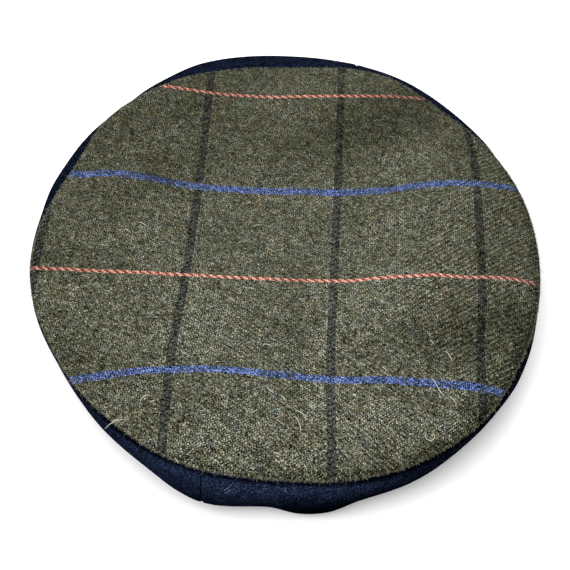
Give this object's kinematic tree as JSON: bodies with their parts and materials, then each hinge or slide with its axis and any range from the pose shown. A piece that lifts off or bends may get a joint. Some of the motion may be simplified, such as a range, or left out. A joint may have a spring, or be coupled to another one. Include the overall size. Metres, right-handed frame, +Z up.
{
  "type": "tam o shanter",
  "caption": "Flat round tam lying on its headband: dished tweed crown over a fuller felted-wool body in two halves, with an open head hollow under it.",
  "frame": {"origin": "middle of the hat's bounding box, on the surface that it lies on", "axes": "+Z up from that surface to the tweed crown, -Y the near side in the picture, +X its right side"},
  "size_m": [0.2816, 0.2994, 0.0451],
  "materials": {
    "tweed": "heathered olive twill tweed with a fine overcheck in orange, blue and charcoal",
    "navy_wool": "matt felted navy wool"
  },
  "bodies": {
    "root": {"tweed_crown": "tweed", "wool_panel_left": "navy_wool", "wool_panel_right": "navy_wool", "headband": "navy_wool"}
  },
  "joints": []
}
